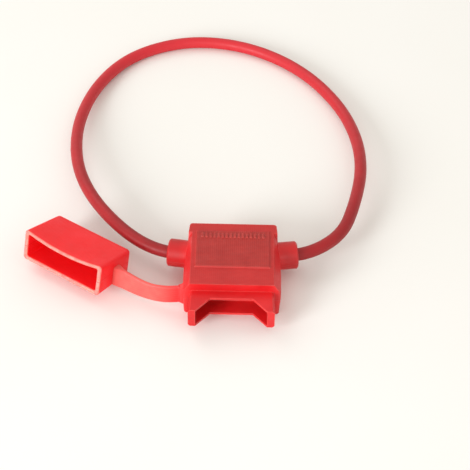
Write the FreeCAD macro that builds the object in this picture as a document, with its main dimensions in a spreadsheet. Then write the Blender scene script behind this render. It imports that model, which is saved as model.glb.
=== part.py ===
"""Inline blade-fuse holder: a soft moulded body with a tethered cap and a loop of lead wire.

Frame, in millimetres: x = 0 is the holder's mid-plane, y = 0 is where the two wire bosses
cross it, z = 0 is the face it rests on. The fuse socket opens towards -Y.
"""
import FreeCAD, Part
import Sketcher
import math
import os

V = FreeCAD.Vector
X_AXIS, Y_AXIS, Z_AXIS = V(1, 0, 0), V(0, 1, 0), V(0, 0, 1)

doc = FreeCAD.newDocument("fuse_holder")

# Driving dimensions: name, value, note. Lengths in millimetres, angles in degrees.
DRIVING = [
    # body of the holder
    ("body_height", "11.9", "full height of the body"),
    ("parting_height", "5.95", "mould parting line, also the height of socket, bosses and cap"),
    ("rear_y", "6.8", "rear face"),
    ("rear_width", "24.8", "width at the rear face"),
    ("front_y", "-17.5", "front shoulder face that the cap seats against"),
    ("front_width", "27.4", "width at the front shoulder"),
    ("widening_y", "-8.5", "where the sides reach the front width"),
    ("side_draft", "3.0", "draft of the lower sides, degrees"),
    ("corner_radius", "0.9", "upright corners of the body"),
    ("shoulder_drop", "3.3", "height of the sloped shoulders beside the top"),
    ("shoulder_inset", "2.0", "how far the shoulders slope in"),
    ("shoulder_rear_y", "3.3", "rear end of the shoulders, at the bosses"),
    # raised label panel, left plain, with a row of grip ribs at its rear
    ("panel_width", "21.2", "raised panel on the top"),
    ("panel_rear_y", "3.6", ""),
    ("panel_front_y", "-11.0", ""),
    ("panel_height", "0.45", ""),
    ("panel_slope", "35", "slope of the panel's edge, degrees"),
    ("rib_width", "0.55", ""),
    ("rib_length", "1.7", ""),
    ("rib_height", "0.25", ""),
    ("rib_pitch", "1.15", ""),
    ("rib_count", "16", ""),
    ("rib_front_y", "0.6", ""),
    # wire bosses
    ("boss_diameter", "8.0", ""),
    ("boss_reach", "18.4", "outer end of each boss from the mid-plane"),
    ("boss_lean", "8.0", "the bosses lean back under the pull of the wire, degrees"),
    ("boss_axis_x", "12.8", "where each leaning boss axis crosses y = 0"),
    ("boss_edge", "0.4", "bevel of the boss rim"),
    # socket nose
    ("nose_length", "7.4", ""),
    ("nose_root_width", "23.4", ""),
    ("nose_tip_width", "24.0", ""),
    ("nose_root_height", "6.7", ""),
    ("nose_tip_height", "6.25", ""),
    ("nose_edge", "0.6", "bevel along the nose"),
    ("notch_setback", "2.75", "flat bottom of the notches from the shoulder face"),
    ("notch_root_width", "11.9", ""),
    ("socket_width", "19.9", "takes a blade fuse 19.1 wide"),
    ("socket_height", "5.1", "takes a blade fuse 5.1 thick"),
    ("socket_floor_depth", "2.0", "socket floor behind the shoulder face"),
    # blade terminals
    ("blade_pitch", "9.9", "distance between the two blades"),
    ("terminal_width", "6.3", ""),
    ("terminal_length", "8.4", "receptacle"),
    ("terminal_sheet", "0.4", "brass sheet"),
    ("blade_gap", "0.8", "slot for the fuse blade"),
    ("terminal_recess", "0.3", "terminal mouth behind the socket floor"),
    ("cavity_clearance", "0.15", "between terminal and cavity"),
    ("crimp_length", "4.2", ""),
    ("crimp_inner_x", "4.6", "inner end of the crimp barrel"),
    ("neck_width", "3.0", "strip that joins receptacle and crimp"),
    # wire
    ("wire_diameter", "3.7", "insulated lead"),
    ("core_diameter", "2.5", "stranded copper core"),
    ("wire_clearance", "0.06", "moulded tightly round the wire"),
    ("wire_inner_x", "10.5", "where the insulation ends inside the body"),
    ("core_inner_x", "5.0", "where the copper ends inside the crimp"),
    ("wire_lead_x", "22.4", "the wire keeps the boss's direction up to about here"),
    # tether strap
    ("strap_thickness", "1.1", ""),
    ("strap_height", "5.5", ""),
    ("strap_y", "-15.4", "centre of the strap on the holder's side"),
    ("strap_bend_radius", "12.0", ""),
    ("strap_stub", "1.2", "thick root on each side"),
    ("strap_root_thickness", "2.4", ""),
    ("strap_root_height", "5.6", ""),
    ("strap_cap_depth", "8.0", "strap on the cap's end wall, from the cap's mouth"),
    ("strap_cap_height", "3.6", "strap on the cap's end wall, from the cap's bottom"),
    # cap
    ("cap_width", "27.0", ""),
    ("cap_depth", "15.1", ""),
    ("cap_mouth_height", "9.9", ""),
    ("cap_rear_height", "8.6", ""),
    ("cap_draft", "0.4", "each side is this much narrower at the closed end"),
    ("cap_wall", "1.15", ""),
    ("cap_sag", "0.75", "dip of the top wall at the middle of the mouth"),
    ("cap_inner_sag", "0.3", "dip of the same wall inside"),
    ("cap_edge", "0.8", "bevel of the long edges and the closed end"),
    ("cap_x", "-48.95", "middle of the cap's mouth at its bottom, as it lies open"),
    ("cap_y", "-8.01", ""),
    ("cap_z", "3.73", ""),
    ("cap_turn", "-33.0", "degrees about the vertical"),
    ("cap_tip", "-13.7", "degrees about the cap's length: the mouth is raised"),
]

# Sizes that follow from the driving ones.
DERIVED = [
    ("rear_half", "=rear_width / 2"),
    ("front_half", "=front_width / 2"),
    ("upper_height", "=body_height - parting_height"),
    ("shoulder_slope", "=atan(shoulder_inset / shoulder_drop)"),
    ("shoulder_inner", "=front_half - shoulder_inset"),
    ("shoulder_outer", "=front_half + 2 * shoulder_inset"),
    ("shoulder_front_y", "=front_y - 2 * shoulder_inset"),
    ("panel_half", "=panel_width / 2"),
    ("boss_radius", "=boss_diameter / 2"),
    ("boss_run", "=boss_reach / cos(boss_lean)"),
    ("boss_base_y", "=-boss_axis_x * tan(boss_lean)"),
    ("nose_tip_y", "=front_y - nose_length"),
    ("nose_root_half", "=nose_root_width / 2"),
    ("nose_tip_half", "=nose_tip_width / 2"),
    ("nose_root_rise", "=nose_root_height / 2"),
    ("nose_tip_rise", "=nose_tip_height / 2"),
    ("nose_root_flat", "=nose_root_half - nose_edge"),
    ("nose_root_side", "=nose_root_rise - nose_edge"),
    ("nose_tip_flat", "=nose_tip_half - nose_edge"),
    ("nose_tip_side", "=nose_tip_rise - nose_edge"),
    ("nose_plane", "=-nose_tip_y"),
    ("root_plane", "=-front_y - nose_edge"),
    ("socket_half", "=socket_width / 2"),
    ("socket_rise", "=socket_height / 2"),
    ("socket_depth", "=nose_length + socket_floor_depth"),
    ("notch_y", "=front_y - notch_setback"),
    ("notch_half", "=notch_root_width / 2"),
    ("notch_clear_y", "=nose_tip_y - nose_edge"),
    ("floor_y", "=front_y + socket_floor_depth"),
    ("floor_plane", "=-floor_y"),
    ("blade_x", "=blade_pitch / 2"),
    ("terminal_half", "=terminal_width / 2"),
    ("cavity_inner", "=blade_x - terminal_half - cavity_clearance"),
    ("cavity_outer", "=blade_x + terminal_half + cavity_clearance"),
    ("cavity_rise", "=2 * terminal_sheet + blade_gap / 2 + cavity_clearance"),
    ("terminal_mouth_y", "=floor_y + terminal_recess"),
    ("terminal_rear_y", "=terminal_mouth_y + terminal_length"),
    ("crimp_radius", "=core_diameter / 2 + terminal_sheet"),
    ("chamber_radius", "=crimp_radius + cavity_clearance"),
    ("bore_radius", "=wire_diameter / 2 + wire_clearance"),
    ("bore_start_y", "=(wire_inner_x - boss_axis_x) * tan(boss_lean)"),
    ("bore_run", "=(boss_reach - wire_inner_x + 1) / cos(boss_lean)"),
    ("chamber_start_x", "=crimp_inner_x - 2 * cavity_clearance"),
    ("chamber_start_y", "=(chamber_start_x - boss_axis_x) * tan(boss_lean)"),
    ("chamber_run", "=(wire_inner_x - chamber_start_x) / cos(boss_lean)"),
    ("crimp_start_y", "=(crimp_inner_x - boss_axis_x) * tan(boss_lean)"),
    ("core_radius", "=core_diameter / 2"),
    ("core_start_y", "=(core_inner_x - boss_axis_x) * tan(boss_lean)"),
    ("core_run", "=(wire_inner_x - core_inner_x) / cos(boss_lean)"),
    ("cavity_rear_y", "=crimp_start_y"),
    ("cavity_length", "=cavity_rear_y - floor_y"),
    ("terminal_plane", "=-terminal_mouth_y"),
    ("terminal_inner_x", "=blade_x - terminal_half"),
    ("terminal_outer_x", "=blade_x + terminal_half"),
    ("sheet_bottom", "=parting_height - blade_gap / 2 - terminal_sheet"),
    ("sheet_top", "=parting_height - blade_gap / 2"),
    ("lip_bottom", "=parting_height + blade_gap / 2"),
    ("lip_top", "=parting_height + blade_gap / 2 + terminal_sheet"),
    ("terminal_wall_inner", "=terminal_inner_x + terminal_sheet"),
    ("terminal_wall_outer", "=terminal_outer_x - terminal_sheet"),
    ("lip_inner", "=blade_x - terminal_width / 6"),
    ("lip_outer", "=blade_x + terminal_width / 6"),
    ("neck_inner", "=blade_x - neck_width / 2"),
    ("neck_outer", "=blade_x + neck_width / 2"),
    ("neck_end_y", "=crimp_start_y - core_radius - terminal_sheet / 2"),
    ("panel_top", "=body_height + panel_height"),
    ("rib_span", "=(rib_count - 1) * rib_pitch"),
    ("rib_left", "=-rib_span / 2 - rib_width / 2"),
    ("rib_right", "=-rib_span / 2 + rib_width / 2"),
    ("rib_rear_y", "=rib_front_y + rib_length"),
    ("neck_start_y", "=terminal_rear_y - 2 * terminal_sheet"),
    ("terminal_fold", "=terminal_sheet"),
    ("front_inside", "=front_half - 1"),
    ("stub_x", "=-front_half - strap_stub"),
    ("stub_bottom", "=parting_height - strap_root_height / 2"),
    ("stub_front_y", "=strap_y - strap_root_thickness / 2"),
    ("stub_rear_y", "=strap_y + strap_root_thickness / 2"),
    ("strap_front_y", "=strap_y - strap_thickness / 2"),
    ("strap_rear_y", "=strap_y + strap_thickness / 2"),
    ("cap_half", "=cap_width / 2"),
    ("cap_rear_half", "=cap_half - cap_draft"),
    ("cap_flat_half", "=cap_half - cap_edge"),
    ("cap_side_top", "=cap_mouth_height - cap_edge"),
    ("cap_rear_flat_half", "=cap_rear_half - cap_edge"),
    ("cap_rear_side_top", "=cap_rear_height - cap_edge"),
    ("cap_sag_radius", "=(cap_flat_half ^ 2 + cap_sag ^ 2) / (2 * cap_sag)"),
    ("cavity_half", "=cap_half - cap_wall"),
    ("cap_cavity_top", "=cap_mouth_height - cap_wall"),
    ("cavity_sag_radius", "=(cavity_half ^ 2 + cap_inner_sag ^ 2) / (2 * cap_inner_sag)"),
    ("cavity_end_half", "=cavity_half - cap_draft"),
    ("cavity_end_top", "=cap_rear_height - cap_wall"),
    ("cavity_end_plane", "=-(cap_depth - cap_wall)"),
    ("cap_rear_plane", "=-cap_depth"),
    ("wire_radius", "=wire_diameter / 2"),
    ("wire_lead_y", "=(wire_lead_x - boss_axis_x) * tan(boss_lean)"),
    # middle of the strap's root on the cap's end wall, and the strap's end in front of it
    ("end_wall_x", "=cap_half - cap_draft * strap_cap_depth / cap_depth"),
    ("end_reach", "=strap_cap_depth * cos(cap_tip) - strap_cap_height * sin(cap_tip)"),
    ("end_x", "=cap_x + end_wall_x * cos(cap_turn) - end_reach * sin(cap_turn)"),
    ("end_y", "=cap_y + end_wall_x * sin(cap_turn) + end_reach * cos(cap_turn)"),
    ("end_z", "=cap_z + strap_cap_depth * sin(cap_tip) + strap_cap_height * cos(cap_tip)"),
    ("strap_far_x", "=end_x + strap_stub * cos(cap_turn)"),
    ("strap_far_y", "=end_y + strap_stub * sin(cap_turn)"),
    # where the strap's two straight stretches would meet
    ("strap_turn_x", "=strap_far_x + (strap_y - strap_far_y) / tan(cap_turn)"),
]

sheet = doc.addObject("Spreadsheet::Sheet", "dims")
for row, (alias, value, note) in enumerate(DRIVING, start=1):
    sheet.set("A%d" % row, alias)
    sheet.set("B%d" % row, value)
    sheet.set("C%d" % row, note)
    sheet.setAlias("B%d" % row, alias)
for row, (alias, formula) in enumerate(DERIVED, start=len(DRIVING) + 2):
    sheet.set("A%d" % row, alias)
    sheet.set("B%d" % row, formula)
    sheet.setAlias("B%d" % row, alias)
doc.recompute()


def number(name):
    """Value of a cell; a leading minus sign turns it round."""
    sign = -1.0 if name.startswith("-") else 1.0
    value = sheet.get(name.lstrip("-"))
    return sign * float(getattr(value, "Value", value))


def formula(name):
    return "-dims." + name[1:] if name.startswith("-") else "dims." + name


def bind(obj, **names):
    """Tie properties of a feature to cells, such as Length="nose_length"."""
    for prop, name in names.items():
        obj.setExpression(prop, formula(name))


def make_body(label):
    body = doc.addObject("PartDesign::Body", label)
    body.Label = label
    return body


def make_sketch(body, plane, offset=(None, None, None), turn=None, name="Profile"):
    """A sketch on one of the body's origin planes, moved by cells of the sheet.

    turn is an axis and a cell with an angle.
    """
    sketch = body.newObject("Sketcher::SketchObject", name)
    support = [item for item in body.Origin.OriginFeatures if item.Role == plane][0]
    sketch.AttachmentSupport = [(support, "")]
    sketch.MapMode = "FlatFace"
    rotation = FreeCAD.Rotation(turn[0], number(turn[1])) if turn else FreeCAD.Rotation()
    base = [number(cell) if cell else 0.0 for cell in offset]
    sketch.AttachmentOffset = FreeCAD.Placement(V(*base), rotation)
    for letter, cell in zip("xyz", offset):
        if cell:
            sketch.setExpression("AttachmentOffset.Base." + letter, formula(cell))
    if turn:
        sketch.setExpression("AttachmentOffset.Rotation.Angle", formula(turn[1]))
    return sketch


def pin_down(sketch, geometry, point, x, y):
    """Fix a point of a sketch at two cells' distances from its origin."""
    for kind, cell in (("DistanceX", x), ("DistanceY", y)):
        if cell is None:
            continue
        index = sketch.addConstraint(
            Sketcher.Constraint(kind, -1, 1, geometry, point, number(cell)))
        sketch.setExpression("Constraints[%d]" % index, formula(cell))


def draw_polygon(sketch, corners, sag_radius=None):
    """Closed outline through named corners; its last side may dip as an arc.

    A corner is two cells, x and y; None stands for zero. The outline with an arc runs
    down its left side, along the bottom and up its right side.
    """
    points = [V(number(x) if x else 0.0, number(y) if y else 0.0, 0) for x, y in corners]
    last = len(points) - 1
    for i, start in enumerate(points):
        end = points[(i + 1) % len(points)]
        if sag_radius and i == last:
            radius = number(sag_radius)
            dip = radius - math.sqrt(radius ** 2 - (end - start).Length ** 2 / 4)
            sketch.addGeometry(Part.Arc(end, (start + end) * 0.5 - Y_AXIS * dip, start))
        else:
            sketch.addGeometry(Part.LineSegment(start, end))
    for i in range(len(points)):
        # each side's end, and the start of the side after it; the arc is drawn backwards
        this_end = 1 if sag_radius and i == last else 2
        next_start = 2 if sag_radius and i == last - 1 else 1
        sketch.addConstraint(
            Sketcher.Constraint("Coincident", i, this_end, (i + 1) % len(points), next_start))
    for i, (x, y) in enumerate(corners):
        point = 2 if sag_radius and i == last else 1
        for cell, axis in ((x, -2), (y, -1)):
            if cell is None:
                sketch.addConstraint(Sketcher.Constraint("PointOnObject", i, point, axis))
        pin_down(sketch, i, point, x, y)
    if sag_radius:
        index = sketch.addConstraint(Sketcher.Constraint("Radius", last, number(sag_radius)))
        sketch.setExpression("Constraints[%d]" % index, formula(sag_radius))
    return sketch


def draw_rectangle(sketch, left, right, bottom, top):
    return draw_polygon(sketch, [(left, bottom), (right, bottom), (right, top), (left, top)])


def draw_circle(sketch, radius):
    """A circle about the sketch's own origin."""
    index = sketch.addGeometry(Part.Circle(V(0, 0, 0), Z_AXIS, number(radius)))
    sketch.addConstraint(Sketcher.Constraint("Coincident", index, 3, -1, 1))
    constraint = sketch.addConstraint(Sketcher.Constraint("Radius", index, number(radius)))
    sketch.setExpression("Constraints[%d]" % constraint, formula(radius))
    return sketch


def extrude(body, kind, sketch, length, reverse=False, taper=None, name=None):
    """A Pad or Pocket of a sketch, its length a cell of the sheet."""
    feature = body.newObject("PartDesign::" + kind, name or kind)
    feature.Profile = sketch
    feature.Type = "Length"
    feature.Length = number(length)
    feature.Reversed = reverse
    bind(feature, Length=length)
    if taper:
        feature.TaperAngle = number(taper)
        bind(feature, TaperAngle=taper)
    doc.recompute()
    return feature


def loft(body, kind, first, last, name=None):
    feature = body.newObject("PartDesign::" + kind, name or kind)
    feature.Profile = first
    feature.Sections = [last]
    feature.Ruled = True
    doc.recompute()
    return feature


def dress_edges(body, kind, prop, size, wanted, name):
    base = body.Tip
    names = ["Edge%d" % i for i, edge in enumerate(base.Shape.Edges, start=1) if wanted(edge)]
    feature = body.newObject("PartDesign::" + kind, name)
    feature.Base = (base, names)
    setattr(feature, prop, number(size))
    bind(feature, **{prop: size})
    doc.recompute()
    return feature


def round_edges(body, radius, wanted, name):
    """Fillet the edges of the body's latest feature that wanted(edge) picks."""
    return dress_edges(body, "Fillet", "Radius", radius, wanted, name)


def bevel_edges(body, size, wanted, name):
    """Chamfer the edges of the body's latest feature that wanted(edge) picks."""
    return dress_edges(body, "Chamfer", "Size", size, wanted, name)


def runs_along(edge, axis):
    """True for a straight edge within a few degrees of an axis."""
    if len(edge.Vertexes) != 2:
        return False
    direction = edge.Vertexes[1].Point - edge.Vertexes[0].Point
    return direction.Length > 1e-6 and abs(direction.normalize() * axis) > 0.99


# Holder body: one soft moulding. Two halves drafted away from the parting line.
holder = make_body("holder_body")
PLAN = [("-rear_half", "rear_y"), ("-front_half", "widening_y"), ("-front_half", "front_y"),
        ("front_half", "front_y"), ("front_half", "widening_y"), ("rear_half", "rear_y")]
outline = make_sketch(holder, "XY_Plane", (None, None, "parting_height"), name="Plan")
draw_polygon(outline, PLAN)
extrude(holder, "Pad", outline, "upper_height", name="UpperHalf")
outline = make_sketch(holder, "XY_Plane", (None, None, "parting_height"), name="LowerPlan")
draw_polygon(outline, PLAN)
extrude(holder, "Pad", outline, "parting_height", reverse=True, taper="-side_draft",
        name="LowerHalf")
round_edges(holder, "corner_radius",
            lambda edge: runs_along(edge, Z_AXIS) and abs(edge.CenterOfMass.x) > number("shoulder_inner"),
            "UprightCorners")

# Sloped shoulders on each side of the top, ahead of the bosses.
for side, cells in (("Left", ("-shoulder_outer", "-shoulder_inner")),
                    ("Right", ("shoulder_inner", "shoulder_outer"))):
    strip = make_sketch(holder, "XY_Plane", (None, None, "body_height"), name=side + "Strip")
    draw_rectangle(strip, cells[0], cells[1], "shoulder_front_y", "shoulder_rear_y")
    extrude(holder, "Pocket", strip, "shoulder_drop", taper="-shoulder_slope",
            name=side + "Shoulder")

# Raised panel with sloped edges and a row of grip ribs.
panel = make_sketch(holder, "XY_Plane", (None, None, "body_height"), name="PanelOutline")
draw_rectangle(panel, "-panel_half", "panel_half", "panel_front_y", "panel_rear_y")
extrude(holder, "Pad", panel, "panel_height", taper="-panel_slope", name="Panel")
rib = make_sketch(holder, "XY_Plane", (None, None, "panel_top"), name="RibOutline")
draw_rectangle(rib, "rib_left", "rib_right", "rib_front_y", "rib_rear_y")
first_rib = extrude(holder, "Pad", rib, "rib_height", name="FirstRib")
ribs = holder.newObject("PartDesign::LinearPattern", "GripRibs")
ribs.Originals = [first_rib]
ribs.Direction = (rib, ["H_Axis"])
bind(ribs, Length="rib_span", Occurrences="rib_count")
holder.Tip = ribs
doc.recompute()

# Nose: drafted in height, flared a little in width, with bevelled long edges.
root = make_sketch(holder, "XZ_Plane", (None, "parting_height", "root_plane"), name="NoseRoot")
draw_polygon(root, [("-nose_root_flat", "-nose_root_rise"), ("nose_root_flat", "-nose_root_rise"),
                    ("nose_root_half", "-nose_root_side"), ("nose_root_half", "nose_root_side"),
                    ("nose_root_flat", "nose_root_rise"), ("-nose_root_flat", "nose_root_rise"),
                    ("-nose_root_half", "nose_root_side"), ("-nose_root_half", "-nose_root_side")])
tip = make_sketch(holder, "XZ_Plane", (None, "parting_height", "nose_plane"), name="NoseTip")
draw_polygon(tip, [("-nose_tip_flat", "-nose_tip_rise"), ("nose_tip_flat", "-nose_tip_rise"),
                   ("nose_tip_half", "-nose_tip_side"), ("nose_tip_half", "nose_tip_side"),
                   ("nose_tip_flat", "nose_tip_rise"), ("-nose_tip_flat", "nose_tip_rise"),
                   ("-nose_tip_half", "nose_tip_side"), ("-nose_tip_half", "-nose_tip_side")])
loft(holder, "AdditiveLoft", root, tip, name="Nose")

# Wire bosses, leaning back.
for side, reach_back, turn, x in (("Left", True, "-boss_lean", None),
                                  ("Right", False, "boss_lean", None)):
    ring = make_sketch(holder, "YZ_Plane", ("boss_base_y", "parting_height", x),
                       turn=(Y_AXIS, turn), name=side + "BossRing")
    draw_circle(ring, "boss_radius")
    extrude(holder, "Pad", ring, "boss_run", reverse=reach_back, name=side + "Boss")
bevel_edges(holder, "boss_edge",
            lambda edge: len(edge.Vertexes) == 1 and abs(edge.CenterOfMass.x) > number("boss_reach") - 1,
            "BossRims")

# Thick root of the tether on the left side.
stub = make_sketch(holder, "XY_Plane", (None, None, "stub_bottom"), name="StrapStub")
draw_polygon(stub, [("-front_inside", "stub_front_y"), ("-front_inside", "stub_rear_y"),
                    ("-front_half", "stub_rear_y"), ("stub_x", "strap_rear_y"),
                    ("stub_x", "strap_front_y"), ("-front_half", "stub_front_y")])
extrude(holder, "Pad", stub, "strap_root_height", name="StrapRoot")

# Socket for the fuse, with trapezoid notches through both flat walls of the nose.
mouth = make_sketch(holder, "XZ_Plane", (None, "parting_height", "nose_plane"), name="SocketMouth")
draw_rectangle(mouth, "-socket_half", "socket_half", "-socket_rise", "socket_rise")
extrude(holder, "Pocket", mouth, "socket_depth", name="Socket")
notch = make_sketch(holder, "XY_Plane", name="NotchOutline")
draw_polygon(notch, [("-notch_half", "notch_y"), ("-socket_half", "nose_tip_y"),
                     ("-socket_half", "notch_clear_y"), ("socket_half", "notch_clear_y"),
                     ("socket_half", "nose_tip_y"), ("notch_half", "notch_y")])
extrude(holder, "Pocket", notch, "body_height", reverse=True, name="Notches")

# Terminal cavities, crimp chambers and wire bores.
for side, lean, cells in (("Left", "-boss_lean", ("-cavity_outer", "-cavity_inner")),
                          ("Right", "boss_lean", ("cavity_inner", "cavity_outer"))):
    to_left = side == "Left"
    slot = make_sketch(holder, "XZ_Plane", (None, "parting_height", "floor_plane"),
                       name=side + "SlotOutline")
    draw_rectangle(slot, cells[0], cells[1], "-cavity_rise", "cavity_rise")
    extrude(holder, "Pocket", slot, "cavity_length", name=side + "Cavity")
    start = "-chamber_start_x" if to_left else "chamber_start_x"
    ring = make_sketch(holder, "YZ_Plane", ("chamber_start_y", "parting_height", start),
                       turn=(Y_AXIS, lean), name=side + "ChamberRing")
    draw_circle(ring, "chamber_radius")
    extrude(holder, "Pocket", ring, "chamber_run", reverse=not to_left, name=side + "Chamber")
    start = "-wire_inner_x" if to_left else "wire_inner_x"
    ring = make_sketch(holder, "YZ_Plane", ("bore_start_y", "parting_height", start),
                       turn=(Y_AXIS, lean), name=side + "BoreRing")
    draw_circle(ring, "bore_radius")
    extrude(holder, "Pocket", ring, "bore_run", reverse=not to_left, name=side + "WireBore")

# Blade terminals: a receptacle with lips folded over the blade, a neck, and a crimp barrel.
for side in ("left", "right"):
    to_left = side == "left"
    sign = "-" if to_left else ""
    lean = "-boss_lean" if to_left else "boss_lean"
    body = make_body(side + "_terminal")
    fold = make_sketch(body, "XZ_Plane", (None, None, "terminal_plane"), name="Fold")
    draw_polygon(fold, [(sign + "terminal_inner_x", "sheet_bottom"),
                        (sign + "terminal_outer_x", "sheet_bottom"),
                        (sign + "terminal_outer_x", "lip_top"),
                        (sign + "lip_outer", "lip_top"),
                        (sign + "lip_outer", "lip_bottom"),
                        (sign + "terminal_wall_outer", "lip_bottom"),
                        (sign + "terminal_wall_outer", "sheet_top"),
                        (sign + "terminal_wall_inner", "sheet_top"),
                        (sign + "terminal_wall_inner", "lip_bottom"),
                        (sign + "lip_inner", "lip_bottom"),
                        (sign + "lip_inner", "lip_top"),
                        (sign + "terminal_inner_x", "lip_top")])
    extrude(body, "Pad", fold, "terminal_length", reverse=True, name="Receptacle")
    round_edges(body, "terminal_fold",
                lambda edge: runs_along(edge, Y_AXIS)
                and abs(abs(abs(edge.CenterOfMass.x) - number("blade_x")) - number("terminal_half")) < 0.01,
                "Folds")
    neck = make_sketch(body, "XY_Plane", (None, None, "sheet_bottom"), name="Neck")
    draw_rectangle(neck, sign + "neck_inner", sign + "neck_outer", "neck_start_y", "neck_end_y")
    extrude(body, "Pad", neck, "terminal_sheet", name="NeckStrip")
    ring = make_sketch(body, "YZ_Plane", ("crimp_start_y", "parting_height", sign + "crimp_inner_x"),
                       turn=(Y_AXIS, lean), name="CrimpOutside")
    draw_circle(ring, "crimp_radius")
    extrude(body, "Pad", ring, "crimp_length", reverse=to_left, name="Crimp")
    ring = make_sketch(body, "YZ_Plane", ("crimp_start_y", "parting_height", sign + "crimp_inner_x"),
                       turn=(Y_AXIS, lean), name="CrimpInside")
    draw_circle(ring, "core_radius")
    extrude(body, "Pocket", ring, "crimp_length", reverse=not to_left, name="CrimpBore")

    core = make_body(side + "_core")
    ring = make_sketch(core, "YZ_Plane", ("core_start_y", "parting_height", sign + "core_inner_x"),
                       turn=(Y_AXIS, lean), name="Strands")
    draw_circle(ring, "core_radius")
    extrude(core, "Pad", ring, "core_run", reverse=to_left, name="Core")

# Cap: a drafted cup. Its top wall dips at the mouth, and the dip fades towards the closed end.
cap = make_body("fuse_cap")
mouth = make_sketch(cap, "XZ_Plane", name="MouthOutline")
draw_polygon(mouth, [("-cap_flat_half", "cap_mouth_height"), ("-cap_half", "cap_side_top"),
                     ("-cap_half", "cap_edge"), ("-cap_flat_half", None),
                     ("cap_flat_half", None), ("cap_half", "cap_edge"),
                     ("cap_half", "cap_side_top"), ("cap_flat_half", "cap_mouth_height")],
             sag_radius="cap_sag_radius")
closed = make_sketch(cap, "XZ_Plane", (None, None, "cap_rear_plane"), name="ClosedOutline")
draw_polygon(closed, [("-cap_rear_flat_half", "cap_rear_height"),
                      ("-cap_rear_half", "cap_rear_side_top"), ("-cap_rear_half", "cap_edge"),
                      ("-cap_rear_flat_half", None), ("cap_rear_flat_half", None),
                      ("cap_rear_half", "cap_edge"), ("cap_rear_half", "cap_rear_side_top"),
                      ("cap_rear_flat_half", "cap_rear_height")])
loft(cap, "AdditiveLoft", mouth, closed, name="Shell")
mouth = make_sketch(cap, "XZ_Plane", name="CavityMouth")
draw_polygon(mouth, [("-cavity_half", "cap_cavity_top"), ("-cavity_half", "cap_wall"),
                     ("cavity_half", "cap_wall"), ("cavity_half", "cap_cavity_top")],
             sag_radius="cavity_sag_radius")
closed = make_sketch(cap, "XZ_Plane", (None, None, "cavity_end_plane"), name="CavityEnd")
draw_polygon(closed, [("-cavity_end_half", "cavity_end_top"), ("-cavity_end_half", "cap_wall"),
                      ("cavity_end_half", "cap_wall"), ("cavity_end_half", "cavity_end_top")])
loft(cap, "SubtractiveLoft", mouth, closed, name="Cavity")
bevel_edges(cap, "cap_edge",
            lambda edge: abs(edge.CenterOfMass.y - number("cap_depth")) < 0.01, "ClosedEdges")
cap.Placement = FreeCAD.Placement(
    V(number("cap_x"), number("cap_y"), number("cap_z")),
    FreeCAD.Rotation(Z_AXIS, number("cap_turn")) * FreeCAD.Rotation(X_AXIS, number("cap_tip")))
bind(cap, **{"Placement.Base.x": "cap_x", "Placement.Base.y": "cap_y", "Placement.Base.z": "cap_z"})


def make_piece(label, shape):
    piece = doc.addObject("Part::Feature", label)
    piece.Label = label
    piece.Shape = shape
    piece.Placement = FreeCAD.Placement()
    return piece


def rounded_path(points, radii):
    """Straight runs through points, joined at each inner point by a tangent arc."""
    edges = []
    start = points[0]
    for before, corner, after, radius in zip(points, points[1:], points[2:], radii):
        back, ahead = (before - corner).normalize(), (after - corner).normalize()
        half_turn = (math.pi - back.getAngle(ahead)) / 2
        setback = radius * math.tan(half_turn)
        arc_start, arc_end = corner + back * setback, corner + ahead * setback
        inward = (back + ahead).normalize()
        middle = corner + inward * (radius / math.cos(half_turn) - radius)
        edges.append(Part.LineSegment(start, arc_start).toShape())
        edges.append(Part.Arc(arc_start, middle, arc_end).toShape())
        start = arc_end
    edges.append(Part.LineSegment(start, points[-1]).toShape())
    return Part.Wire(edges)


def rectangle(centre, across, along):
    """Closed wire of a rectangle; across and along are half its sides."""
    corners = [centre - across - along, centre + across - along,
               centre + across + along, centre - across + along]
    return Part.makePolygon(corners + corners[:1])


# Tether strap: an upright ribbon from the root on the holder to just short of the cap.
parting, drop_end = number("parting_height"), number("end_z")
strap_start = V(number("stub_x"), number("strap_y"), parting)
strap_corner = V(number("strap_turn_x"), number("strap_y"), 0)
strap_end = V(number("strap_far_x"), number("strap_far_y"), drop_end)
first_run = abs(strap_corner.x - strap_start.x)
last_run = math.hypot(strap_end.x - strap_corner.x, strap_end.y - strap_corner.y)
strap_corner.z = parting + (drop_end - parting) * first_run / (first_run + last_run)
strap_path = rounded_path([strap_start, strap_corner, strap_end], [number("strap_bend_radius")])
strap_section = rectangle(strap_start, Y_AXIS * (number("strap_thickness") / 2),
                          Z_AXIS * (number("strap_height") / 2))
ribbon = Part.BRepOffsetAPI.MakePipeShell(strap_path)
ribbon.setBiNormalMode(Z_AXIS)
ribbon.add(strap_section)
ribbon.build()
ribbon.makeSolid()
strap = make_piece("tether_strap", ribbon.shape())

# Flared end of the strap, flush with the strap and with the cap's drafted end wall.
turn = math.radians(number("cap_turn"))
towards_cap = V(math.cos(turn), math.sin(turn), 0)
strap_side = V(-math.sin(turn), math.cos(turn), 0)
thin_end = rectangle(strap_end, strap_side * (number("strap_thickness") / 2),
                     Z_AXIS * (number("strap_height") / 2))
wall_slope = number("cap_draft") / number("cap_depth")
wall_corners = []
for across, along in ((-1, -1), (1, -1), (1, 1), (-1, 1)):
    depth = number("strap_cap_depth") + across * number("strap_root_thickness") / 2
    wall_corners.append(V(number("cap_half") - wall_slope * depth, depth,
                          number("strap_cap_height") + along * number("strap_root_height") / 2))
thick_end = Part.makePolygon([cap.Placement.multVec(c) for c in wall_corners + wall_corners[:1]])
tether_end = make_piece("tether_end", Part.makeLoft([thick_end, thin_end], True, True))

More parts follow.
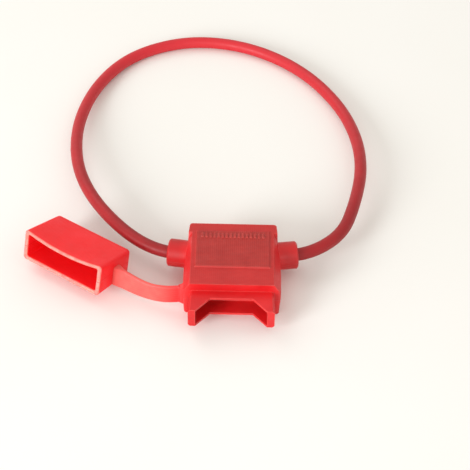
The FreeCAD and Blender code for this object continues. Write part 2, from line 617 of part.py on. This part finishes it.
# Wire: one loop from boss to boss, lying on the bench behind the holder. The stretch
# beyond each boss is listed from the left one round to the right one.
LOOP = [V(-32.6, 9.2, 6.3), V(-43.2, 23.5, 6.8), V(-49, 41, 5.5), V(-50, 62, 3.6),
        V(-45.5, 82, 2.4), V(-36, 97.5, 2.0), V(-20.5, 106, 2.0), V(-5, 106.5, 2.0),
        V(10, 101, 2.0), V(23.5, 89.5, 2.2), V(33.4, 73, 2.8), V(38.2, 55.5, 4.2),
        V(38.9, 38.2, 6.0), V(36, 22, 6.8), V(31.9, 9.3, 6.3)]
RUN_SHARE = 0.45
wire_points = [V(-number("wire_inner_x"), number("bore_start_y"), parting),
               V(-number("wire_lead_x"), number("wire_lead_y"), parting)] + LOOP
wire_points += [V(number("wire_lead_x"), number("wire_lead_y"), parting),
                V(number("wire_inner_x"), number("bore_start_y"), parting)]
wire_radii = []
for before, corner, after in zip(wire_points, wire_points[1:], wire_points[2:]):
    back, ahead = before - corner, after - corner
    half_turn = (math.pi - back.getAngle(ahead)) / 2
    wire_radii.append(RUN_SHARE * min(back.Length, ahead.Length) / math.tan(half_turn))
wire_path = rounded_path(wire_points, wire_radii)
wire_end = Part.Wire(Part.makeCircle(number("wire_radius"), wire_points[0],
                                     wire_points[1] - wire_points[0]))
tube = Part.BRepOffsetAPI.MakePipeShell(wire_path)
tube.add(wire_end)
tube.build()
tube.makeSolid()
wire = make_piece("wire_loop", tube.shape())

doc.recompute()
print("wire radii in mm:", ", ".join("%.1f" % radius for radius in wire_radii))
for piece, section, path in (
        (wire, math.pi * number("wire_radius") ** 2, wire_path),
        (strap, number("strap_thickness") * number("strap_height"), strap_path)):
    print("%s: length %.1f mm, volume %.1f mm3, section x length %.1f mm3" % (
        piece.Label, path.Length, piece.Shape.Volume, section * path.Length))

# Every piece is one valid solid; each goes to a file of its own.
os.makedirs("parts", exist_ok=True)
pieces = [item for item in doc.Objects if item.isDerivedFrom("PartDesign::Body")]
pieces += [strap, tether_end, wire]
for item in doc.Objects:
    if "Invalid" in item.State or "Error" in item.State:
        raise RuntimeError("feature %s is not sound: %s" % (item.Name, item.State))
for piece in pieces:
    shape = piece.Shape
    if shape.isNull() or not shape.isValid() or len(shape.Solids) != 1:
        raise RuntimeError("piece %s is not one valid solid" % piece.Label)
    shape.exportStep("parts/%s.step" % piece.Label)
    print("%s: %.1f mm3" % (piece.Label, shape.Volume))
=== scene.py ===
"""Inline blade-fuse holder: the red moulding, its open cap on a strap, and a loop of lead wire.

The frame is in metres. The holder rests on z = 0, its socket opens towards -Y, and the wire
loop lies behind it. Measurements are in millimetres and degrees; MM turns them into metres.
"""

import math

import bmesh
import bpy
from mathutils import Matrix, Vector


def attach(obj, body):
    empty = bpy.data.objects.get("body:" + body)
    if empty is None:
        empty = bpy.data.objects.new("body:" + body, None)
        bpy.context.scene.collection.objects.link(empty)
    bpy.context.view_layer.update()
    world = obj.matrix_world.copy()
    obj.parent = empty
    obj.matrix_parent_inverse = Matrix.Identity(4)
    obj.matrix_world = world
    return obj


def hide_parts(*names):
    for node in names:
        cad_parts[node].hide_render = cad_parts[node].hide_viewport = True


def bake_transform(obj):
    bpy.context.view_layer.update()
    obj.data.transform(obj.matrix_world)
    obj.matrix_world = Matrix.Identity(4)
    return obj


MM = 0.001
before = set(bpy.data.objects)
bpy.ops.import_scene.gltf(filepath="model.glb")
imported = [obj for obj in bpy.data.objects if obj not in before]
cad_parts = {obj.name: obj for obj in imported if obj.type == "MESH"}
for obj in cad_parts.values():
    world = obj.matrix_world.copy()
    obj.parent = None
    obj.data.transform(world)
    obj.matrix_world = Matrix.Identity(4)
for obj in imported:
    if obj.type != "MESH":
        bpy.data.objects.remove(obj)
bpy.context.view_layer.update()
scene = bpy.context.scene

# The holder's parting line, the top of its label panel, and where its wire bosses begin:
# outside the block's sides and behind the strap's root.
PARTING, PANEL_TOP = 5.95, 12.35
BOSS_START, BOSS_FRONT = 13.5, -9.0

# The cap, and where it lies. Its base is the middle of the mouth's lower edge.
CAP_HALF, CAP_DEPTH, CAP_DRAFT, CAP_WALL = 13.5, 15.1, 0.4, 1.15
CAP_MOUTH_HEIGHT, CAP_REAR_HEIGHT = 9.9, 8.6
CAP_OUTER_SAG, CAP_INNER_SAG = 1.55, 1.35
CAP_OUTER_CORNER, CAP_INNER_CORNER = 1.0, 0.7
CAP_SAG_FALL = 1.3
LIP_ROUND, END_ROUND, FLOOR_ROUND = 0.26, 1.15, 0.9
CAP_SEAM = 4.6
CAP_TURN, CAP_TIP = -33.0, -13.7
CAP_BASE = Vector((-48.95, -8.01, 3.73))
CAP_PLACE = (Matrix.Translation(CAP_BASE)
             @ Matrix.Rotation(math.radians(CAP_TURN), 4, "Z")
             @ Matrix.Rotation(math.radians(CAP_TIP), 4, "X"))

# The cap's outlines: their insets on its closed end and its floor, and their depths along the
# walls, closer together towards the mouth.
END_INSETS, FLOOR_INSETS = (3.8, 3.0, 2.1, 1.5), (1.3, 1.9, 2.5)
WALL_DEPTHS = (0.8, 1.3, 2.2, 3.4, 4.8, 6.5, 8.5, 10.5)
OUTER_LAST_DEPTH, INNER_LAST_DEPTH = 12.5, 12.3

# The strap, from its root in the holder's side to its foot in the cap's end wall. BEND_START and
# BEND_END are the stretches of X over which the painted highlight on its middle begins and ends.
STRAP_THICKNESS, STRAP_HEIGHT, STRAP_SAG = 1.15, 6.05, 1.0
STRAP_EDGE_ROUND = 0.42
ROOT_SWELL, FOOT_SWELL, HEIGHT_TAPER = 0.95, 0.75, 0.08
BEND_START, BEND_END = (-15.5, -21.0), (-37.5, -33.0)
STRAP_ROOT = Vector((-13.2, -15.4, PARTING))
STRAP_FOOT = CAP_PLACE @ Vector((CAP_HALF - 0.45, 8.0, 3.6))
STRAP_CORNER = Vector((
    STRAP_FOOT.x + (STRAP_ROOT.y - STRAP_FOOT.y) / math.tan(math.radians(CAP_TURN)),
    STRAP_ROOT.y, (PARTING + STRAP_FOOT.z) / 2))

# How far the handles of the strap's centre line reach towards its corner, and the shares of that
# line at which its flares end and begin and its three lengths join.
HANDLE = 0.82
ROOT_FLARE, FOOT_FLARE, FLARE_CURVE = 0.09, 0.86, 1.6
FIRST_JOIN, SECOND_JOIN = 0.215, 0.80

# The lead wire, from boss to boss. Its points follow the solid's route, with one more by each
# end, inside the body, that keeps the wire straight in its boss.
WIRE_DIAMETER, WIRE_LENGTH, WIRE_REACH = 3.7, 293.5, 108.0
WIRE_ROUTE = [
    (-10.5, -0.323, 5.95), (-12, -0.112, 5.95), (-22.4, 1.349, 5.95), (-32.6, 9.2, 6.3),
    (-43.2, 23.5, 6.8), (-49, 41, 5.5), (-50, 62, 3.6), (-45.5, 82, 2.4), (-36, 97.5, 2.0),
    (-20.5, 106, 2.0), (-5, 106.5, 2.0), (10, 101, 2.0), (23.5, 89.5, 2.2), (33.4, 73, 2.8),
    (38.2, 55.5, 4.2), (38.9, 38.2, 6.0), (36, 22, 6.8), (31.9, 9.3, 6.3),
    (22.4, 1.349, 5.95), (12, -0.112, 5.95), (10.5, -0.323, 5.95)]

# The photograph's view.
CAMERA_PLACE = Vector((0.55, -305.71, 309.29))
CAMERA_ELEVATION, CAMERA_ROLL = 44.0, 1.238
CAMERA_LENS, CAMERA_SENSOR = 114.9, 36.0

# The studio round the part, in metres.
BENCH_HALF, BENCH_TOP = 1.5, -0.00004
STUDIO_MIDDLE = Vector((-0.01, 0.04, 0.0))
SKY_COLOUR, SKY_STRENGTH = (1.0, 0.965, 0.90, 1.0), 0.76


def make_camera():
    data = bpy.data.cameras.new("view")
    data.sensor_width = CAMERA_SENSOR
    data.lens = CAMERA_LENS
    data.clip_start, data.clip_end = 0.01, 10.0
    camera = bpy.data.objects.new("view", data)
    scene.collection.objects.link(camera)
    elevation, roll = math.radians(CAMERA_ELEVATION), math.radians(CAMERA_ROLL)
    ahead = Vector((0, math.cos(elevation), -math.sin(elevation)))
    level = Vector((1, 0, 0))
    up = level.cross(ahead)
    side = level * math.cos(roll) + up * math.sin(roll)
    top = up * math.cos(roll) - level * math.sin(roll)
    axes = Matrix((side, top, -ahead)).transposed().to_4x4()
    camera.matrix_world = Matrix.Translation(CAMERA_PLACE * MM) @ axes
    scene.camera = camera


make_camera()


# Materials. Their lengths are in metres, as the shader's own are.
class Nodes:
    """Short calls for building one material's node tree."""

    def __init__(self, name):
        self.material = bpy.data.materials.new(name)
        self.material.use_nodes = True
        self.tree = self.material.node_tree
        self.surface = self.tree.nodes["Principled BSDF"]
        self.place = self.add("ShaderNodeTexCoord").outputs["Object"]

    def add(self, kind, inputs=None, **props):
        node = self.tree.nodes.new(kind)
        for key, value in props.items():
            setattr(node, key, value)
        for key, value in (inputs or {}).items():
            self.feed(node.inputs[key], value)
        return node

    def feed(self, socket, value):
        if isinstance(value, bpy.types.NodeSocket):
            self.tree.links.new(value, socket)
        else:
            socket.default_value = value

    def axes(self):
        """Each point's X, Y and Z."""
        return self.add("ShaderNodeSeparateXYZ", {"Vector": self.place}).outputs

    def along(self, axis):
        """Distance of each point from the origin along an axis."""
        node = self.add("ShaderNodeVectorMath", {0: self.place, 1: axis}, operation="DOT_PRODUCT")
        return node.outputs["Value"]

    def noise(self, scale, detail=3.0, roughness=0.5, vector=None):
        node = self.add("ShaderNodeTexNoise", {
            "Vector": vector or self.place, "Scale": scale, "Detail": detail,
            "Roughness": roughness})
        return node.outputs["Fac"]

    def spread(self, value, low, high, to_low=0.0, to_high=1.0):
        node = self.add("ShaderNodeMapRange", {
            "Value": value, "From Min": low, "From Max": high,
            "To Min": to_low, "To Max": to_high})
        return node.outputs["Result"]

    def mottle(self, low, high, scale, detail=4.0, roughness=0.6):
        """A number that wanders between low and high in small patches."""
        return self.spread(self.noise(scale, detail, roughness), 0.3, 0.7, low, high)

    def math(self, operation, a, b=0.0):
        return self.add("ShaderNodeMath", {0: a, 1: b}, operation=operation).outputs[0]

    def times(self, a, b):
        return self.math("MULTIPLY", a, b)

    def ramp(self, value, *stops):
        node = self.add("ShaderNodeValToRGB", {"Fac": value})
        elements = node.color_ramp.elements
        while len(elements) < len(stops):
            elements.new(0.5)
        for element, (position, colour) in zip(elements, stops):
            element.position = position
            element.color = (*colour, 1.0)
        return node.outputs["Color"]

    def mix(self, share, colour, other):
        """A colour with a share of another in it."""
        node = self.add("ShaderNodeMix", data_type="RGBA")
        self.feed(node.inputs[0], share)
        self.feed(node.inputs[6], colour)
        self.feed(node.inputs[7], (*other, 1.0) if isinstance(other, tuple) else other)
        return node.outputs[2]

    def bump(self, height, distance, strength=1.0, before=None):
        inputs = {"Height": height, "Distance": distance, "Strength": strength}
        if before is not None:
            inputs["Normal"] = before
        return self.add("ShaderNodeBump", inputs).outputs["Normal"]

    def seam(self, height, level, half_width, fade):
        """One on a thin line at a level and zero away from it."""
        away = self.math("ABSOLUTE", self.math("SUBTRACT", height, level))
        return self.spread(away, half_width, fade, 1.0, 0.0)

    def edges(self, radius):
        """One along the edges of the shape and zero on its flats."""
        facing = self.add("ShaderNodeNewGeometry").outputs["Normal"]
        rounded = self.add("ShaderNodeBevel", {"Radius": radius}, samples=6).outputs["Normal"]
        same = self.add("ShaderNodeVectorMath", {0: facing, 1: rounded}, operation="DOT_PRODUCT")
        return self.spread(same.outputs["Value"], 0.985, 0.80)

    def tooling_ribs(self, direction, scale):
        """Fine lines that a mould's tool leaves across a direction."""
        node = self.add("ShaderNodeTexWave", {
            "Vector": self.place, "Scale": scale, "Distortion": 0.6, "Detail": 2.0,
            "Detail Scale": 0.6}, wave_type="BANDS", bands_direction=direction)
        return node.outputs["Fac"]

    def set(self, **values):
        for key, value in values.items():
            self.feed(self.surface.inputs[key.replace("_", " ")], value)


def moulded_pvc(name, deep, middle, bright, detail, glow=(0.12, 0.0012), gloss=(0.34, 0.50),
                edge_highlight=0.0):
    """Soft PVC: a slightly mottled colour and a fine moulding skin, then the piece's own detail.

    glow holds the weight and the depth to which light enters the plastic, gloss the range of its
    roughness, and the last argument how far a painted highlight pales the colour along the edges.
    """
    nodes = Nodes(name)
    patches = nodes.noise(scale=90.0, detail=4.0, roughness=0.55)
    colour = nodes.ramp(patches, (0.30, deep), (0.52, middle), (0.74, bright))
    waves = nodes.noise(scale=160.0, detail=2.0, roughness=0.5)
    normal = nodes.bump(waves, distance=0.00022, strength=0.55)
    grain = nodes.noise(scale=2600.0, detail=3.0, roughness=0.6)
    normal = nodes.bump(grain, distance=0.00003, strength=0.5, before=normal)
    roughness = nodes.mottle(*gloss, scale=420.0)
    colour, roughness, normal = detail(nodes, colour, roughness, normal)
    # Painted highlight: the colour pales along the edges, in patches.
    if edge_highlight > 0.0:
        edge_highlight_patches = nodes.mottle(0.4 * edge_highlight, edge_highlight, scale=600.0, detail=3.0)
        edge_highlight_mask = nodes.times(nodes.edges(radius=0.00045), edge_highlight_patches)
        colour = nodes.mix(edge_highlight_mask, colour, (0.90, 0.20, 0.17))
    nodes.set(Base_Color=colour, Roughness=roughness, Normal=normal, IOR=1.53,
              Specular_IOR_Level=0.42, Subsurface_Weight=glow[0], Subsurface_Scale=glow[1],
              Subsurface_Radius=(1.0, 0.15, 0.1))
    return nodes.material


def holder_detail(nodes, colour, roughness, normal):
    """Painted shade on the bosses, a parting seam, and a duller top with a tooled label field."""
    x, y, height = nodes.axes()
    # Painted shade: the wire bosses, outside the block's sides and behind its front, are a deeper
    # red.
    outside = nodes.spread(nodes.math("ABSOLUTE", x), BOSS_START * MM, (BOSS_START + 2.0) * MM)
    behind = nodes.spread(y, BOSS_FRONT * MM, (BOSS_FRONT + 3.0) * MM, 0.0, 0.7)
    colour = nodes.mix(nodes.times(outside, behind), colour, (0.47, 0.009, 0.011))
    seam = nodes.seam(height, PARTING * MM, half_width=0.00005, fade=0.00014)
    normal = nodes.bump(seam, distance=0.00008, before=normal)
    top = PANEL_TOP * MM
    field = nodes.math("ADD", nodes.spread(height, top - 0.00065, top - 0.0005, 0.0, 0.55),
                       nodes.spread(height, top - 0.0003, top - 0.00005, 0.0, 0.45))
    ribs = nodes.math("ADD", nodes.times(nodes.tooling_ribs("Y", scale=620.0), 0.7),
                      nodes.times(nodes.tooling_ribs("X", scale=560.0), 0.3))
    normal = nodes.bump(nodes.times(ribs, field), distance=0.00006, before=normal)
    # The top panel is darker and browner, in patches.
    top_patches = nodes.noise(scale=260.0, detail=4.0, roughness=0.6)
    tone = nodes.math("ADD", nodes.times(ribs, 0.45), nodes.times(top_patches, 0.55))
    dull = nodes.ramp(tone, (0.25, (0.34, 0.012, 0.010)), (0.50, (0.42, 0.020, 0.016)),
                      (0.78, (0.52, 0.034, 0.028)))
    roughness = nodes.math("ADD", roughness, nodes.times(field, 0.10))
    return nodes.mix(field, colour, dull), roughness, normal


def cap_detail(nodes, colour, roughness, normal):
    """A painted highlight that pales the lip, and a seam at half height round the outside."""
    inward, upright = (CAP_PLACE.to_3x3() @ Vector(axis) for axis in ((0, 1, 0), (0, 0, 1)))
    depth = nodes.math("SUBTRACT", nodes.along(inward), inward.dot(CAP_BASE) * MM)
    height = nodes.math("SUBTRACT", nodes.along(upright), upright.dot(CAP_BASE) * MM)
    seam = nodes.seam(height, CAP_SEAM * MM, half_width=0.00006, fade=0.00018)
    normal = nodes.bump(seam, distance=0.00010, before=normal)
    ribs = nodes.tooling_ribs("DIAGONAL", scale=480.0)
    normal = nodes.bump(ribs, distance=0.000012, before=normal)
    # Painted highlight: the lip is paler than the rest of the cap, in patches.
    lip_highlight_mask = nodes.times(nodes.spread(depth, 0.00022, 0.00060, 1.0, 0.0),
                      nodes.mottle(0.55, 1.0, scale=500.0, detail=3.0))
    lip_highlighted = nodes.mix(lip_highlight_mask, colour, (0.96, 0.33, 0.28))
    seam_on_lip = nodes.times(nodes.times(seam, lip_highlight_mask), 0.8)
    return nodes.mix(seam_on_lip, lip_highlighted, (0.45, 0.02, 0.02)), roughness, normal


def strap_detail(nodes, colour, roughness, normal):
    """A painted highlight that pales the PVC where the strap bends, with fine lines along it."""
    x = nodes.axes()["X"]
    bend = nodes.times(nodes.spread(x, BEND_START[0] * MM, BEND_START[1] * MM, 0.0, 0.75),
                       nodes.spread(x, BEND_END[0] * MM, BEND_END[1] * MM))
    # Painted highlight: the middle of the strap is paler, in patches.
    strap_highlight_mask = nodes.times(bend, nodes.mottle(0.6, 1.0, scale=380.0))
    lines = nodes.tooling_ribs("Z", scale=420.0)
    normal = nodes.bump(lines, distance=0.00003, strength=0.8, before=normal)
    return nodes.mix(strap_highlight_mask, colour, (0.90, 0.17, 0.145)), roughness, normal


def wire_detail(nodes, colour, roughness, normal):
    """Extruded insulation with painted light that pales it towards the far side of the loop, and a
    few darker marks.
    """
    # Painted light: the wire grows paler the farther it reaches from the holder.
    painted_far_light = nodes.spread(nodes.axes()["Y"], 0.0, WIRE_REACH * MM, 0.0, 0.9)
    colour = nodes.mix(painted_far_light, colour, (0.66, 0.018, 0.030))
    spots = nodes.noise(scale=700.0, detail=4.0, roughness=0.7)
    marks = nodes.spread(spots, 0.66, 0.74, 0.0, 0.5)
    return nodes.mix(marks, colour, (0.20, 0.006, 0.009)), roughness, normal


def stamped_metal(name, deep, bright):
    """Sheet or stranded metal with a little tarnish and fine drawn lines along its length."""
    nodes = Nodes(name)
    stretched = nodes.add("ShaderNodeMapping", {"Vector": nodes.place, "Scale": (1.0, 0.12, 1.0)})
    lines = nodes.noise(5200.0, 2.0, 0.5, vector=stretched.outputs["Vector"])
    tarnish = nodes.noise(scale=320.0, detail=4.0, roughness=0.6)
    colour = nodes.ramp(tarnish, (0.3, deep), (0.7, bright))
    shine = nodes.mottle(0.22, 0.42, scale=700.0, detail=3.0, roughness=0.5)
    nodes.set(Base_Color=colour, Roughness=shine, Metallic=1.0,
              Normal=nodes.bump(lines, distance=0.00002, strength=0.6))
    return nodes.material


red_pvc = moulded_pvc("red_pvc", (0.56, 0.007, 0.009), (0.65, 0.010, 0.013),
                      (0.73, 0.017, 0.020), holder_detail, edge_highlight=0.5)
cap_pvc = moulded_pvc("cap_pvc", (0.87, 0.008, 0.013), (0.93, 0.012, 0.019),
                      (0.97, 0.020, 0.029), cap_detail, glow=(0.65, 0.0034),
                      gloss=(0.42, 0.58), edge_highlight=0.4)
strap_pvc = moulded_pvc("strap_pvc", (0.70, 0.012, 0.014), (0.78, 0.018, 0.020),
                        (0.84, 0.028, 0.030), strap_detail)
wire_pvc = moulded_pvc("wire_pvc", (0.24, 0.003, 0.006), (0.30, 0.004, 0.007),
                       (0.37, 0.006, 0.010), wire_detail, glow=(0.08, 0.0010),
                       gloss=(0.42, 0.58))
brass = stamped_metal("terminal_brass", (0.56, 0.38, 0.14), (0.82, 0.64, 0.30))
copper = stamped_metal("copper_core", (0.52, 0.22, 0.11), (0.80, 0.42, 0.24))


# Solids carried over from the frame.
def dress(obj, material):
    obj.data.materials.clear()
    obj.data.materials.append(material)
    for face in obj.data.polygons:
        face.use_smooth = True
    return obj


def soften(obj, width, angle, segments=3):
    """Round the edges of a carried-over solid with modifiers, leaving its own mesh as it is."""
    weld = obj.modifiers.new("weld", "WELD")
    weld.merge_threshold = 0.000002
    merge = obj.modifiers.new("merge_flats", "DECIMATE")
    merge.decimate_type = "DISSOLVE"
    merge.angle_limit = math.radians(0.6)
    bevel = obj.modifiers.new("soft_edges", "BEVEL")
    bevel.width = width * MM
    bevel.segments = segments
    bevel.limit_method = "ANGLE"
    bevel.angle_limit = math.radians(angle)
    bevel.miter_outer = "MITER_ARC"
    normals = obj.modifiers.new("normals", "WEIGHTED_NORMAL")
    normals.keep_sharp = True


soften(dress(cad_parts["holder_body"], red_pvc), width=0.30, angle=30.0)
for node, material in (("left_terminal", brass), ("right_terminal", brass),
                       ("left_core", copper), ("right_core", copper)):
    soften(dress(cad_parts[node], material), width=0.08, angle=40.0, segments=2)


# Skins through outlines, for the soft pieces.
def new_object(name, verts, faces, material):
    mesh = bpy.data.meshes.new(name)
    mesh.from_pydata([tuple(v) for v in verts], [], faces)
    mesh.validate()
    bm = bmesh.new()
    bm.from_mesh(mesh)
    bmesh.ops.recalc_face_normals(bm, faces=bm.faces)
    bm.to_mesh(mesh)
    bm.free()
    obj = bpy.data.objects.new(name, mesh)
    scene.collection.objects.link(obj)
    return dress(obj, material)


def skin_loops(loops, closed_ends=(True, True)):
    """Vertices and faces of a skin through closed loops that all have the same length."""
    count = len(loops[0])
    verts = [point for loop in loops for point in loop]
    faces = []
    for row in range(len(loops) - 1):
        for i in range(count):
            j = (i + 1) % count
            faces.append((row * count + i, row * count + j,
                          (row + 1) * count + j, (row + 1) * count + i))
    if closed_ends[0]:
        faces.append(tuple(range(count)))
    if closed_ends[1]:
        start = (len(loops) - 1) * count
        faces.append(tuple(start + i for i in reversed(range(count))))
    return verts, faces


def rounded_rectangle(half, low, high, radius, sag=0.0, side_steps=12, corner_steps=6):
    """Points of an upright rounded rectangle; its top side dips by sag at the middle."""
    points = []
    radius = max(min(radius, half * 0.98, (high - low) * 0.49), 0.01)
    corners = [(half - radius, low + radius, -90), (half - radius, high - radius, 0),
               (-half + radius, high - radius, 90), (-half + radius, low + radius, 180)]
    for number, (cx, cz, start) in enumerate(corners):
        for step in range(corner_steps + 1):
            angle = math.radians(start + 90.0 * step / corner_steps)
            points.append([cx + radius * math.cos(angle), cz + radius * math.sin(angle)])
        ahead = corners[(number + 1) % 4]
        turned = math.radians(ahead[2])
        target = (ahead[0] + radius * math.cos(turned), ahead[1] + radius * math.sin(turned))
        here = points[-1]
        for step in range(1, side_steps):
            share = step / side_steps
            points.append([here[0] + (target[0] - here[0]) * share,
                           here[1] + (target[1] - here[1]) * share])
    for point in points:
        rise = max(0.0, (point[1] - low) / (high - low) - 0.5) * 2.0
        point[1] -= sag * rise * max(0.0, 1.0 - (point[0] / half) ** 2)
    return points


# Cap: a soft cup whose top wall sags at the mouth.
def cap_loop(depth, inset, inner):
    """One outline of the cap, on its outside or its inside, at a depth from the mouth."""
    share = min(depth / CAP_DEPTH, 1.0)
    wall = CAP_WALL if inner else 0.0
    half = CAP_HALF - CAP_DRAFT * share - wall - inset
    low = wall + inset
    high = CAP_MOUTH_HEIGHT + (CAP_REAR_HEIGHT - CAP_MOUTH_HEIGHT) * share - wall - inset
    sag = (CAP_INNER_SAG if inner else CAP_OUTER_SAG) * max(0.0, 1.0 - share) ** CAP_SAG_FALL
    corner = CAP_INNER_CORNER if inner else CAP_OUTER_CORNER
    outline = rounded_rectangle(half, low, high, max(corner - inset * 0.5, 0.15), sag)
    return [CAP_PLACE @ Vector((x, depth, z)) * MM for x, z in outline]


def rolled_edge(edge, inward, inset, angles, inner):
    """Outlines round one edge of the cap; inward is the roll's reach in depth."""
    return [cap_loop(edge + inward * (1 - math.sin(angle)), inset * (1 - math.cos(angle)), inner)
            for angle in angles]


def cap_loops():
    """Outlines from the closed end, along the outside, over the lip and down to the floor."""
    to_wall = [math.radians(angle) for angle in (90, 75, 60, 45, 30, 15, 0)]
    from_wall = to_wall[::-1]
    floor = CAP_DEPTH - CAP_WALL
    return ([cap_loop(CAP_DEPTH, inset, False) for inset in END_INSETS]
            + rolled_edge(CAP_DEPTH, -END_ROUND, END_ROUND, to_wall, False)
            + [cap_loop(depth, 0.0, False)
               for depth in (OUTER_LAST_DEPTH, *reversed(WALL_DEPTHS))]
            + rolled_edge(0.0, LIP_ROUND, LIP_ROUND, from_wall, False)
            + rolled_edge(0.0, LIP_ROUND, -LIP_ROUND, to_wall, True)
            + [cap_loop(depth, 0.0, True)
               for depth in (*WALL_DEPTHS, INNER_LAST_DEPTH)]
            + rolled_edge(floor, -FLOOR_ROUND, FLOOR_ROUND, from_wall, True)
            + [cap_loop(floor, inset, True) for inset in FLOOR_INSETS])


cap = new_object("cap", *skin_loops(cap_loops()), cap_pvc)
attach(cap, "cap")
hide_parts("fuse_cap")


# Strap: one ribbon from the holder's root to the cap's end wall, in three joining lengths.
def strap_point(share):
    """Point of the strap's centre line: a cubic with its handles towards the corner, and a sag."""
    first = STRAP_ROOT.lerp(STRAP_CORNER, HANDLE)
    second = STRAP_FOOT.lerp(STRAP_CORNER, HANDLE)
    first.z, second.z = STRAP_ROOT.z, STRAP_FOOT.z
    left = 1.0 - share
    point = (STRAP_ROOT * left ** 3 + first * 3 * left ** 2 * share
             + second * 3 * left * share ** 2 + STRAP_FOOT * share ** 3)
    point.z -= STRAP_SAG * 4.0 * share * left
    return point


def smooth(value):
    value = max(0.0, min(1.0, value))
    return value * value * (3.0 - 2.0 * value)


def strap_loop(share):
    """Outline of the ribbon, flared at both ends and twisted to stand square on the cap."""
    heading = strap_point(min(share + 0.01, 1.0)) - strap_point(max(share - 0.01, 0.0))
    heading.z = 0.0
    heading.normalize()
    up = Vector((0, 0, 1))
    side = heading.cross(up)
    twist = Matrix.Rotation(math.radians(-CAP_TIP) * smooth((share - 0.5) / 0.5), 3, heading)
    root = 1.0 - smooth(share / ROOT_FLARE)
    foot = smooth((share - FOOT_FLARE) / (1.0 - FOOT_FLARE)) ** FLARE_CURVE
    half_thickness = STRAP_THICKNESS / 2 + ROOT_SWELL * root + FOOT_SWELL * foot
    half_height = STRAP_HEIGHT / 2 + HEIGHT_TAPER * (root - foot)
    outline = rounded_rectangle(half_thickness, -half_height, half_height, STRAP_EDGE_ROUND,
                                side_steps=4, corner_steps=5)
    centre = strap_point(share)
    return [(centre + twist @ (side * x + up * z)) * MM for x, z in outline]


def strap_length(name, first, last, steps):
    loops = [strap_loop(first + (last - first) * step / steps) for step in range(steps + 1)]
    verts, faces = skin_loops(loops, (first == 0.0, last == 1.0))
    piece = new_object(name, verts, faces, strap_pvc)
    strap_point(first) * MM
    strap_point(last) * MM
    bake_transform(piece)
    return piece


strap_length("strap_root", 0.0, FIRST_JOIN, 26)
middle_length = strap_length("strap_end", FIRST_JOIN, SECOND_JOIN, 52)
foot_length = strap_length("strap_foot", SECOND_JOIN, 1.0, 22)
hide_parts("tether_strap")
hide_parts("tether_end")


# Wire: one smooth loop from boss to boss.
def make_wire():
    curve = bpy.data.curves.new("wire", "CURVE")
    curve.dimensions = "3D"
    curve.resolution_u = 16
    curve.bevel_depth = WIRE_DIAMETER / 2 * MM
    curve.bevel_resolution = 8
    curve.use_fill_caps = True
    curve.materials.append(wire_pvc)
    spline = curve.splines.new("NURBS")
    spline.points.add(len(WIRE_ROUTE) - 1)
    for point, place in zip(spline.points, WIRE_ROUTE):
        point.co = (*(Vector(place) * MM), 1.0)
    spline.order_u = 3
    spline.use_endpoint_u = True
    spline.use_smooth = True
    wire = bpy.data.objects.new("wire", curve)
    scene.collection.objects.link(wire)
    return wire


wire = make_wire()
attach(wire, "holder")
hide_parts("wire_loop")


# Bench, light and sky.
def make_bench():
    """A plain pale bench, a hair below the holder's rest face."""
    nodes = Nodes("bench")
    colour = nodes.ramp(nodes.noise(6.0), (0.35, (0.88, 0.87, 0.84)), (0.65, (0.91, 0.90, 0.88)))
    nodes.set(Base_Color=colour, Roughness=0.75, Specular_IOR_Level=0.2)
    corners = ((-1, -1), (1, -1), (1, 1), (-1, 1))
    mesh = bpy.data.meshes.new("bench")
    mesh.from_pydata([(x * BENCH_HALF, y * BENCH_HALF, BENCH_TOP) for x, y in corners],
                     [], [(0, 1, 2, 3)])
    bench = bpy.data.objects.new("bench", mesh)
    bench.data.materials.append(nodes.material)
    scene.collection.objects.link(bench)


def make_light(name, place, size, power, colour=(1.0, 1.0, 1.0)):
    """A round soft light that shines on the middle of the studio."""
    data = bpy.data.lights.new(name, "AREA")
    data.shape = "DISK"
    data.size = size
    data.energy = power
    data.color = colour
    light = bpy.data.objects.new(name, data)
    scene.collection.objects.link(light)
    aim = (STUDIO_MIDDLE - Vector(place)).to_track_quat("-Z", "Y").to_matrix().to_4x4()
    light.matrix_world = Matrix.Translation(place) @ aim


def make_sky():
    world = bpy.data.worlds.new("studio")
    world.use_nodes = True
    background = world.node_tree.nodes["Background"]
    background.inputs["Color"].default_value = SKY_COLOUR
    background.inputs["Strength"].default_value = SKY_STRENGTH
    scene.world = world


make_bench()
make_light("key", (-0.80, -0.78, 0.43), size=0.50, power=10.0, colour=(0.96, 0.985, 1.0))
make_light("front", (0.05, -1.40, 0.90), size=0.90, power=3.5)
make_light("rear", (-0.50, 0.60, 0.75), size=0.70, power=1.6)
make_sky()
scene.view_settings.view_transform = "Standard"
